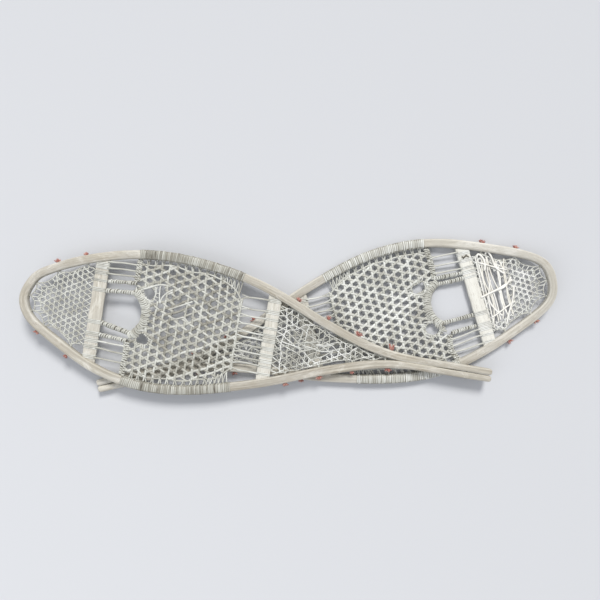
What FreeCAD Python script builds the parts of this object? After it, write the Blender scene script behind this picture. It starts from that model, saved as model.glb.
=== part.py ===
"""A pair of bent-wood snowshoes laced with rawhide, lying flat and crossed, the upper shoe on the lower one.

Each shoe is drawn in its own frame, in millimetres: +X from the tail tips to the toe, +Z up, and Z = 0 at the
underside of the rawhide wound round its rails. A placement then turns it and sets it down in the pair's frame,
whose origin is the centre of the pair's box, on the ground.
"""

import FreeCAD, Part
import math
import os

os.makedirs("parts", exist_ok=True)
doc = FreeCAD.newDocument("snowshoes")
V = FreeCAD.Vector
UP = V(0, 0, 1)

# ---------------------------------------------------------------- driving dimensions

SIZES = {
    # the bent stick
    "shoe_length": (1207, "tail tips to toe, a nominal 48 inches"),
    "rail_thickness": (20, "height of the stick"),
    "tail_split": (0.8, "gap between the stick's two tails"),
    "throat_x": (240, "where the tails part"),
    "tip_round": (6, "rounding of the tail tips, seen from above"),
    "upturn_start": (1045, "where the toe starts to curl up"),
    "upturn_radius": (700, "curl radius at mid thickness"),
    # crossbars
    "bar_width": (34, "along the shoe"),
    "bar_thickness": (9, "height"),
    "tenon_depth": (10, "how far a bar's end goes into the rail"),
    "bar_blank": (400, "length of the bar before its ends are fitted"),
    # lacing
    "wind_thickness": (1.5, "rawhide wound round the rail"),
    "net_thickness": (4, "laced panel"),
    "net_gap": (1, "centre panel's sides to the windings"),
    "toe_gap": (9, "toe panel's edge cord to the stick"),
    "tail_gap": (5, "tail panel's edge cord to the stick"),
    "tail_net_rear": (325, "rear end of the tail panel"),
    "edge_cord": (3.5, "cord round the toe and tail panels"),
    "clearance": (0.3, "between neighbouring pieces of lacing"),
    "selvedge_radius": (3, "cord at the ends of the centre panel"),
    "thong_width": (4.5, "single thong"),
    "thong_thickness": (3, "single thong"),
    "served_radius": (5, "thongs bound with rawhide, beside the toe hole"),
    "served_spacing": (18, "outer bound thong from the inner one"),
    "toe_cord_radius": (7, "thick cord behind the toe hole"),
    "toe_arc_radius": (62, "bend of the toe cord"),
    "toe_hole_half": (52, "middle of the shoe to the inner bound thongs"),
    "rear_thong_pitch": (18.5, "between thongs at the rear crossbar"),
    "band_width": (11, "band round a crossbar"),
    "band_thickness": (1.3, "band round a crossbar"),
    # small pieces
    "rivet_radius": (2, "tail rivet"),
    "rivet_head_radius": (4.5, "tail rivet's head"),
    "rivet_head": (0.8, "height of the head"),
    "lace_hole_radius": (2, "hole through the stick for an end panel's anchor"),
    "tuft_radius": (5, "tied wool tuft"),
    # the pair
    "stack_height": (22, "upper shoe's Z = 0 above the lower one's"),
    "lower_yaw": (13.3, "turn about +Z"),
    "upper_yaw": (170.8, "turn about +Z"),
    "lower_tail_x": (-497.3, "lower shoe's tail tips"),
    "lower_tail_y": (-181.1, "lower shoe's tail tips"),
    "upper_tail_x": (510.2, "upper shoe's tail tips"),
    "upper_tail_y": (-151.1, "upper shoe's tail tips"),
    # where the two handmade shoes differ
    "lower_front_bar": (1003, "middle of the front crossbar"),
    "lower_front_tilt": (3.2, "front crossbar off square"),
    "lower_rear_bar": (561, "middle of the rear crossbar"),
    "lower_front_edge": (908, "front end of the centre panel"),
    "lower_rear_edge": (640, "rear end of the centre panel"),
    "upper_front_bar": (1019, "middle of the front crossbar"),
    "upper_front_tilt": (0.4, "front crossbar off square"),
    "upper_rear_bar": (573, "middle of the rear crossbar"),
    "upper_front_edge": (926, "front end of the centre panel"),
    "upper_rear_edge": (658, "rear end of the centre panel"),
    "lower_toe_shift": (1, "middle of the toe hole, off the shoe's middle"),
    "upper_toe_shift": (-9, "middle of the toe hole, off the shoe's middle"),
    "torn_net_rear": (1092, "lower shoe: the toe panel is whole ahead of this"),
}

# The sticks' centre lines: distance from the tail tips, then how far the lower shoe's left and right sides lie from
# the middle, the same for the upper shoe, and the stick's width there. The last row is the middle of the toe.
BENDS = [
    (0, 8.6, 8.6, 8.6, 8.6, 16.4),
    (130, 8.7, 8.7, 8.7, 8.7, 16.6),
    (240, 10.4, 10.4, 10.4, 10.4, 20),
    (300, 20, 20, 20, 20, 21.5),
    (360, 36.5, 36.5, 36.5, 36.5, 22),
    (450, 68.5, 66.5, 66, 69, 22),
    (540, 105.5, 101, 100, 107, 22),
    (640, 139, 131.5, 131.5, 141, 22),
    (740, 164, 155, 156.5, 160.5, 22),
    (850, 170.3, 165.3, 168.6, 167.8, 22),
    (930, 159.9, 156.4, 161.5, 161.5, 22),
    (1010, 135.2, 134.6, 139, 144, 22),
    (1090, 103.7, 104, 98.8, 116.5, 22),
    (1150, 75.3, 75.6, 61.5, 86, 20.5),
    (1176, 57.2, 57, 39.8, 66, 19.5),
    (1189, 41, 39, 20.5, 42.5, 19),
    (1197, 0, 0, -11, 11, 19),
]

FRONT_THONGS = (88, 104, 120)
REAR_THONGS = 11
TAIL_RIVETS = (62, 176)
TAIL_LACE_HOLES = (262, 354, 436, 518)
TOE_LACE_HOLES = {
    "lower": {"left": (1047, 1124), "right": (1057, 1132)},
    "upper": {"left": (1070, 1147), "right": (1061, 1126)},
}

sheet = doc.addObject("Spreadsheet::Sheet", "dims")
rows = [(alias, value, note) for alias, (value, note) in SIZES.items()]
BEND_WORDS = ("station", "lower_left", "lower_right", "upper_left", "upper_right", "width")
for number, bend in enumerate(BENDS):
    for word, value in zip(BEND_WORDS, bend):
        rows.append(("bend_%s_%d" % (word, number), value, "centre line of the stick"))
for number, (alias, value, note) in enumerate(rows, start=1):
    sheet.set("A%d" % number, alias)
    sheet.set("B%d" % number, str(value))
    sheet.setAlias("B%d" % number, alias)
    sheet.set("C%d" % number, note)
doc.recompute()


def dim(alias):
    return float(sheet.get(alias))


RAIL_BOTTOM = dim("wind_thickness")
RAIL_TOP = RAIL_BOTTOM + dim("rail_thickness")
MID = (RAIL_BOTTOM + RAIL_TOP) / 2
WINDING_TOP = RAIL_TOP + dim("wind_thickness")
BEYOND = 30
CUT_HALF = 300
LEAST_SPREAD = 1
WELL_OPEN = 500

# ---------------------------------------------------------------- the stick's line


def spline(points):
    curve = Part.BSplineCurve()
    curve.interpolate(points)
    return curve


class Stick:
    """The centre line of one shoe's bent stick, seen from above, from one tail tip round the toe to the other."""

    def __init__(self, shoe):
        left = []
        right = []
        for number in range(len(BENDS)):
            x, y_left, y_right, width = (
                dim("bend_%s_%d" % (word, number)) for word in ("station", shoe + "_left", shoe + "_right", "width")
            )
            left.append((V(x, y_left, 0), width))
            right.append((V(x, -y_right, 0), width))
        self.toe = len(BENDS) - 1
        self.stations = left + right[-2::-1]
        self.curve = spline([point for point, width in self.stations])
        self.toe_parameter = self.curve.parameter(self.stations[self.toe][0])

    def outward_at(self, parameter):
        along = self.curve.tangent(parameter)[0]
        return V(-along.y, along.x, 0)

    def offset_points(self, inward):
        """Points beside the centre line. inward(width) is the distance moved towards the middle of the shoe."""
        return [
            point - self.outward_at(self.curve.parameter(point)) * inward(width) for point, width in self.stations
        ]

    def inset_outline(self, inset):
        """The open part of the shoe's inner edge, moved inwards by inset, without the tails, where it closes up."""
        moved = self.offset_points(lambda width: width / 2 + inset)
        left = [point for point in moved[:self.toe] if point.y > LEAST_SPREAD or point.x > WELL_OPEN]
        right = [point for point in moved[self.toe + 1:] if point.y < -LEAST_SPREAD or point.x > WELL_OPEN]
        return left + [moved[self.toe]] + right

    def rail_at(self, x, side):
        """The centre line's point at x on the left side (1) or the right (-1), and the outward direction there."""
        tail = self.curve.FirstParameter if side > 0 else self.curve.LastParameter
        toe = self.toe_parameter
        for _ in range(40):
            middle = (tail + toe) / 2
            if self.curve.value(middle).x < x:
                tail = middle
            else:
                toe = middle
        return self.curve.value(tail), self.outward_at(tail)

    def half_width(self, x, inset, side):
        """Distance from the middle of the shoe to its inner edge on one side, less the inset, at x."""
        point, outward = self.rail_at(x, side)
        return abs(point.y) - (dim("bend_width_4") / 2 + inset) / abs(outward.y)


def curl(x):
    """How far the toe's curl lifts the stick's middle at x."""
    ahead = max(0, x - dim("upturn_start"))
    return dim("upturn_radius") - math.sqrt(dim("upturn_radius") ** 2 - ahead ** 2)


# ---------------------------------------------------------------- document helpers


def bind(obj, **cells):
    """Binds properties to expressions over the sheet. A double underscore stands for a dot."""
    for name, expression in cells.items():
        obj.setExpression(name.replace("__", "."), expression)


def new_sketch(body, name, role="XY_Plane"):
    plane = [feature for feature in body.Origin.OriginFeatures if feature.Role == role][0]
    sketch = body.newObject("Sketcher::SketchObject", name)
    sketch.AttachmentSupport = (plane, [""])
    sketch.MapMode = "FlatFace"
    return sketch


def draw_loop(sketch, points):
    """Closed loop of straight lines."""
    for start, end in zip(points, points[1:] + points[:1]):
        sketch.addGeometry(Part.LineSegment(start, end), False)


def draw_bow(sketch, points):
    """Spline from the first point to the last, closed by straight lines."""
    sketch.addGeometry(spline(points), False)
    sketch.addGeometry(Part.LineSegment(points[-1], points[0]), False)


def rectangle(x0, y0, x1, y1):
    return [V(x0, y0, 0), V(x1, y0, 0), V(x1, y1, 0), V(x0, y1, 0)]


def side_view(sketch, low, high):
    """Side view of a layer between two heights: flat, then curling up at the toe on concentric arcs."""
    start = dim("upturn_start")
    centre = V(start, MID + dim("upturn_radius"), 0)
    sweep = math.asin((dim("shoe_length") + BEYOND - start) / dim("upturn_radius"))
    first = -math.pi / 2
    ends = []
    for height in (low, high):
        radius = centre.y - height
        circle = Part.Circle(centre, UP, radius)
        sketch.addGeometry(Part.ArcOfCircle(circle, first, first + sweep), False)
        ends.append(circle.value(first + sweep))
    low_rear = V(-BEYOND, low, 0)
    high_rear = V(-BEYOND, high, 0)
    sketch.addGeometry(Part.LineSegment(low_rear, V(start, low, 0)), False)
    sketch.addGeometry(Part.LineSegment(ends[0], ends[1]), False)
    sketch.addGeometry(Part.LineSegment(V(start, high, 0), high_rear), False)
    sketch.addGeometry(Part.LineSegment(high_rear, low_rear), False)


def layer(name, low, high):
    """A body filling the layer between two heights, wider than the shoe, ready to be trimmed."""
    body = doc.addObject("PartDesign::Body", name)
    sketch = new_sketch(body, name + "_side", "XZ_Plane")
    side_view(sketch, low, high)
    pad = body.newObject("PartDesign::Pad", name + "_pad")
    pad.Profile = sketch
    pad.Midplane = True
    bind(pad, Length="dims.bar_blank")
    return body


def cut_through(body, name, *loops, bow=None):
    """Pockets straight-sided loops, or all outside or inside a bow, right through the body."""
    sketch = new_sketch(body, name)
    for loop in loops:
        draw_loop(sketch, loop)
    if bow:
        draw_bow(sketch, bow)
    pocket = body.newObject("PartDesign::Pocket", name + "_cut")
    pocket.Profile = sketch
    pocket.Type = "ThroughAll"
    pocket.Midplane = True
    return pocket


def trim_outside(body, name, outline):
    far = dim("shoe_length") + 2 * BEYOND
    cut_through(body, name, rectangle(-2 * BEYOND, -CUT_HALF, far, CUT_HALF), bow=outline)


def keep_between(body, name, rear, front):
    """Cuts the body off behind rear and ahead of front."""
    far = dim("shoe_length") + 2 * BEYOND
    loops = [rectangle(-2 * BEYOND, -CUT_HALF, rear, CUT_HALF)]
    if front:
        loops.append(rectangle(front, -CUT_HALF, far, CUT_HALF))
    cut_through(body, name, *loops)


def cylinder(name, radius_cell, start, end):
    """A round bar from start to end."""
    obj = doc.addObject("Part::Cylinder", name)
    bind(obj, Radius="dims." + radius_cell)
    obj.Height = (end - start).Length
    obj.Placement = FreeCAD.Placement(start, FreeCAD.Rotation(UP, end - start))
    return obj


def boolean(kind, name, base, tool):
    obj = doc.addObject(kind, name)
    obj.Base = base
    obj.Tool = tool
    return obj


def group(name, members):
    """Several separate solids as one object."""
    obj = doc.addObject("Part::MultiFuse", name)
    obj.Shapes = members
    return obj


# ---------------------------------------------------------------- the pieces of one shoe


class Shoe:
    """One shoe's own dimensions and its finished pieces, each placed in the pair and cut from nothing else."""

    def __init__(self, name, height):
        self.name = name
        spot = V(dim(name + "_tail_x"), dim(name + "_tail_y"), height)
        self.placement = FreeCAD.Placement(spot, FreeCAD.Rotation(UP, dim(name + "_yaw")))
        self.front_bar = dim(name + "_front_bar")
        self.tilt = dim(name + "_front_tilt")
        self.rear_bar = dim(name + "_rear_bar")
        self.front_edge = dim(name + "_front_edge")
        self.rear_edge = dim(name + "_rear_edge")
        self.toe_shift = dim(name + "_toe_shift")
        self.line = Stick(name)
        self.pieces = []

    def label(self, word):
        return self.name + "_" + word

    def finish(self, obj, word):
        """Names a finished piece and moves it from the shoe's frame to the pair's."""
        obj.Label = self.label(word)
        obj.Placement = self.placement.multiply(obj.Placement)
        self.pieces.append(obj)

    def front_bar_face(self, y, ahead):
        """Where a thong at y meets the front crossbar's wrapping, ahead of it (+1) or behind it (-1)."""
        slope = math.tan(math.radians(self.tilt))
        reach = dim("bar_width") / 2 + dim("band_thickness") + dim("clearance")
        return self.front_bar - slope * y + ahead * reach / math.cos(math.radians(self.tilt))

    def rear_bar_face(self, ahead):
        return self.rear_bar + ahead * (dim("bar_width") / 2 + dim("band_thickness") + dim("clearance"))

    def build(self):
        stick = self.stick()
        self.frame(stick, self.crossbars() + [self.tail_rivets()])
        self.rail_windings(stick)
        self.centre_net()
        self.end_net("tail", dim("tail_gap"), dim("tail_net_rear"), self.rear_bar_face(-1))
        self.toe_lacing()
        self.toe_hole_cords()
        self.selvedges()
        self.thongs()
        self.bar_bands()
        self.tufts()

    def stick(self):
        """The bent stick before anything is let into it."""
        name = self.label("stick")
        body = layer(name, RAIL_BOTTOM, RAIL_TOP)
        trim_outside(body, name + "_outer", self.line.offset_points(lambda width: -width / 2))
        split = dim("tail_split") / 2
        throat = dim("throat_x")
        inner = [point for point in self.line.offset_points(lambda width: width / 2) if point.x > throat + 1]
        inner = [V(throat, split, 0)] + inner + [V(throat, -split, 0)]
        sketch = new_sketch(body, name + "_inner")
        sketch.addGeometry(spline(inner), False)
        tail = [V(throat, -split, 0), V(-BEYOND, -split, 0), V(-BEYOND, split, 0), V(throat, split, 0)]
        for start, end in zip(tail, tail[1:]):
            sketch.addGeometry(Part.LineSegment(start, end), False)
        pocket = body.newObject("PartDesign::Pocket", name + "_inner_cut")
        pocket.Profile = sketch
        pocket.Type = "ThroughAll"
        pocket.Midplane = True
        doc.recompute()
        upright = dim("rail_thickness") - 1
        tips = [
            "Edge%d" % number
            for number, edge in enumerate(pocket.Shape.Edges, start=1)
            if edge.BoundBox.XMax < 1 and edge.BoundBox.ZLength > upright
        ]
        rounded = body.newObject("PartDesign::Fillet", name + "_tips")
        rounded.Base = (pocket, tips)
        bind(rounded, Radius="dims.tip_round")
        return body

    def lace_holes(self):
        """Each lace hole's station, its side, and where the stick's centre line is and faces there."""
        for word, side in (("left", 1), ("right", -1)):
            for x in TAIL_LACE_HOLES + TOE_LACE_HOLES[self.name][word]:
                yield (x, word) + tuple(self.line.rail_at(x, side))

    def frame(self, stick, let_in):
        """The stick with its mortises, rivet holes and lace holes."""
        holes = []
        for x, word, point, outward in self.lace_holes():
            point.z = MID + curl(x)
            name = "%s_hole_%d_%s" % (self.name, x, word)
            reach = outward * (dim("rail_thickness") / 2 + 2)
            holes.append(cylinder(name, "lace_hole_radius", point - reach, point + reach))
        tools = group(self.label("let_in"), let_in + holes)
        self.finish(boolean("Part::Cut", self.label("frame_cut"), stick, tools), "frame")

    def prism(self, word, inset):
        """The whole height of the shoe inside an outline parallel to the stick's inner edge."""
        body = doc.addObject("PartDesign::Body", self.label(word))
        sketch = new_sketch(body, self.label(word + "_outline"))
        draw_bow(sketch, self.line.inset_outline(inset))
        pad = body.newObject("PartDesign::Pad", self.label(word + "_pad"))
        pad.Profile = sketch
        bind(pad, Length="dims.rail_thickness + 2 * dims.wind_thickness")
        return body

    def crossbars(self):
        """Two flat bars whose ends follow the stick's curve, let into it as blind tenons."""
        seat = self.prism("tenon_line", -dim("tenon_depth"))
        bars = []
        for word, x, tilt in (("front", self.front_bar, self.tilt), ("rear", self.rear_bar, 0)):
            blank = doc.addObject("Part::Box", self.label(word + "_bar_blank"))
            bind(blank, Length="dims.bar_width", Width="dims.bar_blank", Height="dims.bar_thickness")
            turn = FreeCAD.Rotation(UP, tilt)
            corner = V(-dim("bar_width") / 2, -dim("bar_blank") / 2, MID - dim("bar_thickness") / 2)
            blank.Placement = FreeCAD.Placement(V(x, 0, 0) + turn.multVec(corner), turn)
            self.finish(boolean("Part::Common", self.label(word + "_crossbar_fit"), blank, seat), word + "_crossbar")
            bars.append(boolean("Part::Common", self.label(word + "_mortises"), blank, seat))
        return bars

    def tail_rivets(self):
        """Two rivets from side to side through both tails, heads on the outside."""
        members = []
        for x in TAIL_RIVETS:
            point, outward = self.line.rail_at(x, 1)
            face = point.y + dim("bend_width_1") / 2
            name = "%s_rivet_%d" % (self.name, x)
            head = dim("rivet_head")
            members.append(cylinder(name, "rivet_radius", V(x, -face, MID), V(x, face, MID)))
            members.append(cylinder(name + "_left", "rivet_head_radius", V(x, face, MID), V(x, face + head, MID)))
            members.append(cylinder(name + "_right", "rivet_head_radius", V(x, -face, MID), V(x, -face - head, MID)))
        self.finish(group(self.label("rivet_group"), members), "tail_rivets")
        return group(self.label("rivet_holes"), members)

    def rail_windings(self, stick):
        """Rawhide wound round each rail beside the centre panel, as a sleeve."""
        far = dim("shoe_length") + 2 * BEYOND
        for word, side in (("left", 1), ("right", -1)):
            name = self.label("winding_" + word)
            body = layer(name, 0, WINDING_TOP)
            wind = dim("wind_thickness")
            trim_outside(body, name + "_outer", self.line.offset_points(lambda width: -width / 2 - wind))
            cut_through(body, name + "_inner", bow=self.line.inset_outline(wind))
            keep_between(body, name + "_ends", self.rear_edge, self.front_edge + 2 * dim("selvedge_radius"))
            cut_through(body, name + "_other", rectangle(-BEYOND, 0, far, -side * CUT_HALF))
            self.finish(boolean("Part::Cut", name + "_sleeve", body, stick), word + "_rail_winding")

    def panel(self, name, inset, rear, front):
        """A flat laced panel, as a plain sheet that follows the stick."""
        half = dim("net_thickness") / 2
        body = layer(name, MID - half, MID + half)
        trim_outside(body, name + "_sides", self.line.inset_outline(inset))
        keep_between(body, name + "_ends", rear, front)
        return body

    def centre_net(self):
        """The panel that carries the foot, hollowed at its front for the toe cord."""
        name = self.label("centre_panel")
        body = self.panel(name, dim("wind_thickness") + dim("net_gap"), self.rear_edge, self.front_edge)
        sketch = new_sketch(body, name + "_hollow")
        radius = dim("toe_arc_radius") + dim("toe_cord_radius") + dim("clearance")
        sketch.addGeometry(Part.Circle(V(self.arc_centre(), self.toe_shift, 0), UP, radius), False)
        pocket = body.newObject("PartDesign::Pocket", name + "_hollow_cut")
        pocket.Profile = sketch
        pocket.Type = "ThroughAll"
        pocket.Midplane = True
        self.finish(body, "centre_net")

    def arc_centre(self):
        return self.front_edge + math.sqrt(dim("toe_arc_radius") ** 2 - dim("toe_hole_half") ** 2)

    def end_net(self, word, gap, rear, front):
        """A toe or tail panel and the cord that runs round its edge. The toe's has no straight front end."""
        cord = dim("edge_cord")
        room = cord + dim("clearance")
        ring = self.panel(self.label(word + "_ring"), gap, rear, front)
        inside = self.panel(self.label(word + "_inside"), gap + cord, rear + cord, front and front - cord)
        self.finish(boolean("Part::Cut", self.label(word + "_ring_cut"), ring, inside), word + "_edge_cord")
        net = self.panel(self.label(word + "_panel"), gap + room, rear + room, front and front - room)
        self.finish(net, word + "_net")

    def toe_lacing(self):
        """The toe panel. The lower shoe's is torn next to the crossbar, and mended with loose lacing."""
        rear = self.front_bar_face(-self.line.half_width(self.front_bar, 0, -1), 1)
        if self.name == "upper":
            self.end_net("toe", dim("toe_gap"), rear, None)
            return
        torn = dim("torn_net_rear")
        mend = self.panel(self.label("mend_panel"), dim("toe_gap"), rear, torn - dim("clearance"))
        self.finish(mend, "toe_mending")
        self.end_net("toe", dim("toe_gap"), torn, None)

    def toe_hole_cords(self):
        """The toe cord behind the hole, and two bound thongs on each side of it."""
        spread = math.degrees(math.asin(dim("toe_hole_half") / dim("toe_arc_radius")))
        arc = doc.addObject("Part::Torus", self.label("toe_arc"))
        bind(arc, Radius1="dims.toe_arc_radius", Radius2="dims.toe_cord_radius")
        arc.Angle3 = 2 * spread
        arc.Placement = FreeCAD.Placement(
            V(self.arc_centre(), self.toe_shift, MID), FreeCAD.Rotation(UP, 180 - spread)
        )
        self.finish(arc, "toe_cord")
        members = []
        for side in (1, -1):
            for number in (0, 1):
                y = side * (dim("toe_hole_half") + number * dim("served_spacing")) + self.toe_shift
                lead = dim("toe_cord_radius") if number == 0 else 2 * (dim("selvedge_radius") + dim("clearance"))
                start = V(self.front_edge + lead, y, MID)
                y -= side * dim("served_radius")
                end = V(self.front_bar_face(y, -1) - 1, y, MID)
                name = "%s_served_%d_%s" % (self.name, number, "left" if side > 0 else "right")
                members.append(cylinder(name, "served_radius", start, end))
        self.finish(group(self.label("served_group"), members), "toe_hole_cords")

    def selvedges(self):
        """The cords across the shoe at the two ends of the centre panel."""
        radius = dim("selvedge_radius")
        inset = dim("wind_thickness") + dim("net_gap")
        gap = dim("clearance")
        x = self.rear_edge - radius - gap
        left = self.line.half_width(x, inset, 1)
        right = self.line.half_width(x, inset, -1)
        rear = cylinder(self.label("rear_cord"), "selvedge_radius", V(x, -right, MID), V(x, left, MID))
        self.finish(rear, "rear_selvedge")
        x = self.front_edge + radius + gap
        start = dim("toe_hole_half") + dim("toe_cord_radius") + radius
        members = []
        for word, side in (("left", 1), ("right", -1)):
            inner = V(x, side * start + self.toe_shift, MID)
            outer = V(x, side * (self.line.half_width(x, inset, side) - radius), MID)
            members.append(cylinder(self.label("front_cord_" + word), "selvedge_radius", inner, outer))
        self.finish(group(self.label("front_cord_group"), members), "front_selvedge")

    def thongs(self):
        """Single thongs from the centre panel to the crossbars, each a flat strip."""
        lead = 2 * (dim("selvedge_radius") + dim("clearance"))
        spans = []
        for y in FRONT_THONGS:
            for side in (1, -1):
                across = side * y + self.toe_shift
                spans.append((self.front_edge + lead, self.front_bar_face(across, -1) - 1, across))
        self.strips("front_thongs", spans)
        middle = (REAR_THONGS - 1) / 2
        rear = self.rear_bar_face(1)
        pitch = dim("rear_thong_pitch")
        self.strips(
            "rear_thongs",
            [(rear, self.rear_edge - lead, (number - middle) * pitch) for number in range(REAR_THONGS)],
        )

    def strips(self, word, spans):
        members = []
        for number, (rear, front, y) in enumerate(spans):
            strip = doc.addObject("Part::Box", "%s_%s_%d" % (self.name, word, number))
            strip.Length = front - rear
            bind(strip, Width="dims.thong_width", Height="dims.thong_thickness")
            strip.Placement.Base = V(rear, y - dim("thong_width") / 2, MID - dim("thong_thickness") / 2)
            members.append(strip)
        self.finish(group(self.label(word + "_group"), members), word)

    def bar_bands(self):
        """Rawhide bands round the crossbars, one where each thong crosses."""
        inner = dim("toe_hole_half") - dim("served_radius")
        offsets = (inner, inner + dim("served_spacing")) + FRONT_THONGS
        front = [side * y + self.toe_shift for y in offsets for side in (1, -1)]
        middle = (REAR_THONGS - 1) / 2
        rear = [(number - middle) * dim("rear_thong_pitch") for number in range(REAR_THONGS)]
        room = self.prism("room_between_rails", dim("clearance"))
        self.bands("front", self.front_bar, self.tilt, front, room)
        self.bands("rear", self.rear_bar, 0, rear, room)

    def bands(self, word, x, tilt, places, room):
        turn = FreeCAD.Rotation(UP, tilt)
        wrap = dim("band_thickness")
        members = []
        for number, y in enumerate(places):
            ring = doc.addObject("Part::Box", "%s_%s_band_%d" % (self.name, word, number))
            bind(
                ring,
                Length="dims.bar_width + 2 * dims.band_thickness",
                Width="dims.band_width",
                Height="dims.bar_thickness + 2 * dims.band_thickness",
            )
            corner = V(
                -dim("bar_width") / 2 - wrap,
                y - dim("band_width") / 2,
                MID - dim("bar_thickness") / 2 - wrap,
            )
            ring.Placement = FreeCAD.Placement(V(x, 0, 0) + turn.multVec(corner), turn)
            members.append(ring)
        rings = group(self.label(word + "_band_group"), members)
        bar = doc.getObject(self.label(word + "_bar_blank"))
        hollow = boolean("Part::Cut", self.label(word + "_band_cut"), rings, bar)
        self.finish(boolean("Part::Common", self.label(word + "_band_trim"), hollow, room), word + "_bar_bands")

    def tufts(self):
        """Small wool tufts tied at the outer ends of the lace holes."""
        members = []
        for x, word, point, outward in self.lace_holes():
            point = point + outward * (dim("bend_width_4") / 2 + dim("tuft_radius") + dim("clearance"))
            point.z = MID + curl(x)
            ball = doc.addObject("Part::Sphere", "%s_tuft_%d_%s" % (self.name, x, word))
            bind(ball, Radius="dims.tuft_radius")
            ball.Placement.Base = point
            members.append(ball)
        self.finish(group(self.label("tuft_group"), members), "wool_tufts")


# ---------------------------------------------------------------- the pair

lower = Shoe("lower", 0)
upper = Shoe("upper", dim("stack_height"))
for shoe in (lower, upper):
    shoe.build()
doc.recompute()

for obj in doc.Objects:
    if "Invalid" in obj.State or "Error" in obj.State:
        raise RuntimeError("%s failed: %s" % (obj.Name, obj.State))
pieces = lower.pieces + upper.pieces
box = FreeCAD.BoundBox()
for piece in pieces:
    if piece.Shape.isNull() or not piece.Shape.isValid():
        raise RuntimeError(piece.Label + " has no valid shape")
    box.add(piece.Shape.BoundBox)
for piece in pieces:
    piece.Shape.exportStep("parts/" + piece.Label + ".step")
print("pieces", len(pieces), "box", box)
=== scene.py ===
"""Looks of a pair of bent-wood snowshoes laced with rawhide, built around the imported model.

Every piece is first drawn in its own shoe's flat frame, in millimetres: x from the tail tips to the toe,
y across, h above the middle of the stick. Shoe.to_pair then curls the toe up and sets the piece down.
"""

import bpy
import math
import random

import numpy as np
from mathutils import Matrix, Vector


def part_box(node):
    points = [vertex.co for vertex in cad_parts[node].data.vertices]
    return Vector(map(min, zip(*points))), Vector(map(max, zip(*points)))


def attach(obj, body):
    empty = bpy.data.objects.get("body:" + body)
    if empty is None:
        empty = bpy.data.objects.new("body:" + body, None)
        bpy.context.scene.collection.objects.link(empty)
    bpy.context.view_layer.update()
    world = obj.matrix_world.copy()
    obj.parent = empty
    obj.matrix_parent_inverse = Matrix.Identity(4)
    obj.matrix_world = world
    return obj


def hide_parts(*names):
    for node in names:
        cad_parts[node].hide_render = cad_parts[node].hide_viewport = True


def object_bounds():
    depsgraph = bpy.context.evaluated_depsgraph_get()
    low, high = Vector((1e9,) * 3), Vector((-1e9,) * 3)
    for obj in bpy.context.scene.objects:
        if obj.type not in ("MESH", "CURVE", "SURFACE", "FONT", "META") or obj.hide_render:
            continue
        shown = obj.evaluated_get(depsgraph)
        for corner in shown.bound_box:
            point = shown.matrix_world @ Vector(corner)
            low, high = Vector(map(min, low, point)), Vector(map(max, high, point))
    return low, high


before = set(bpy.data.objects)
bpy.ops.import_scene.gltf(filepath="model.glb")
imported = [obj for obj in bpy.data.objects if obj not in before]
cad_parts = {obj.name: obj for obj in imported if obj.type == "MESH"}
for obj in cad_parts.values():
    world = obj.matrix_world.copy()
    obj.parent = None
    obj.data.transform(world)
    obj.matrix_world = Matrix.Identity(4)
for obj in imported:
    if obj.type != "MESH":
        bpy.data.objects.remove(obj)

cad_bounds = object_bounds()

# ---------------------------------------------------------------- sizes, in millimetres

# MIDDLE is the height of the stick's middle above the shoe's underside. CORNER is how far ahead of the
# rear edge the centre panel has its full width. BAR_ROW and TOE_ROW are how far an end panel's weave
# stands back from its crossbar and, ahead of TOE_ROW_START, from its edge cord. The MEND sizes are the
# first mending thong's place, the step to the next, the first one's half length and its loss per mm.
MM = 0.001
TURN = 2 * math.pi
SIDES = {1: "left", -1: "right"}
RAIL_HEIGHT = 20
MIDDLE = 11.5
UPTURN_START = 1045
UPTURN_RADIUS = 700
BAR_WIDTH = 34
BAR_HEIGHT = 9
TENON = 8
SELVEDGE_INSET = 13.5
WINDING_PITCH = 4.5
WINDING_THICK = 1.3
CENTRE_ROWS = 14
CENTRE_SPACING = 19.6
CORNER = 50
TOE_ARC_RADIUS = 62
TOE_ARC_AHEAD = 33.8
BAR_ROW = 7
TOE_ROW_START = 1112
TOE_ROW = 15
MEND_START = 1024
MEND_STEP = 7.4
MEND_HALF = 98
MEND_TAPER = 0.32
EVERY = ("cross", "up", "down")
TAIL_LACE_HOLES = (262, 354, 436, 518)
TAIL_RIVETS = (62, 176)
RIVET_HEAD = 4.5
RIVET_PROUD = 0.8
RAIL_ROUNDING = 4.6
BAR_ROUNDING = 3.0
TIP_ROUNDING = 6.0
TUFT_YARNS = 20

# The sticks' centre lines: distance from the tail tips, then how far the lower shoe's left and right
# sides lie from the middle, the same for the upper shoe, and the stick's width there. The last row is
# the middle of the toe.
BENDS = [
    (0, 8.6, 8.6, 8.6, 8.6, 16.4),
    (130, 8.7, 8.7, 8.7, 8.7, 16.6),
    (240, 10.4, 10.4, 10.4, 10.4, 20),
    (300, 20, 20, 20, 20, 21.5),
    (360, 36.5, 36.5, 36.5, 36.5, 22),
    (450, 68.5, 66.5, 66, 69, 22),
    (540, 105.5, 101, 100, 107, 22),
    (640, 139, 131.5, 131.5, 141, 22),
    (740, 164, 155, 156.5, 160.5, 22),
    (850, 170.3, 165.3, 168.6, 167.8, 22),
    (930, 159.9, 156.4, 161.5, 161.5, 22),
    (1010, 135.2, 134.6, 139, 144, 22),
    (1090, 103.7, 104, 98.8, 116.5, 22),
    (1150, 75.3, 75.6, 61.5, 86, 20.5),
    (1176, 57.2, 57, 39.8, 66, 19.5),
    (1189, 41, 39, 20.5, 42.5, 19),
    (1197, 0, 0, -11, 11, 19),
]
BEND_COLUMNS = {"lower": (1, 2), "upper": (3, 4)}

# ---------------------------------------------------------------- curves


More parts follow.
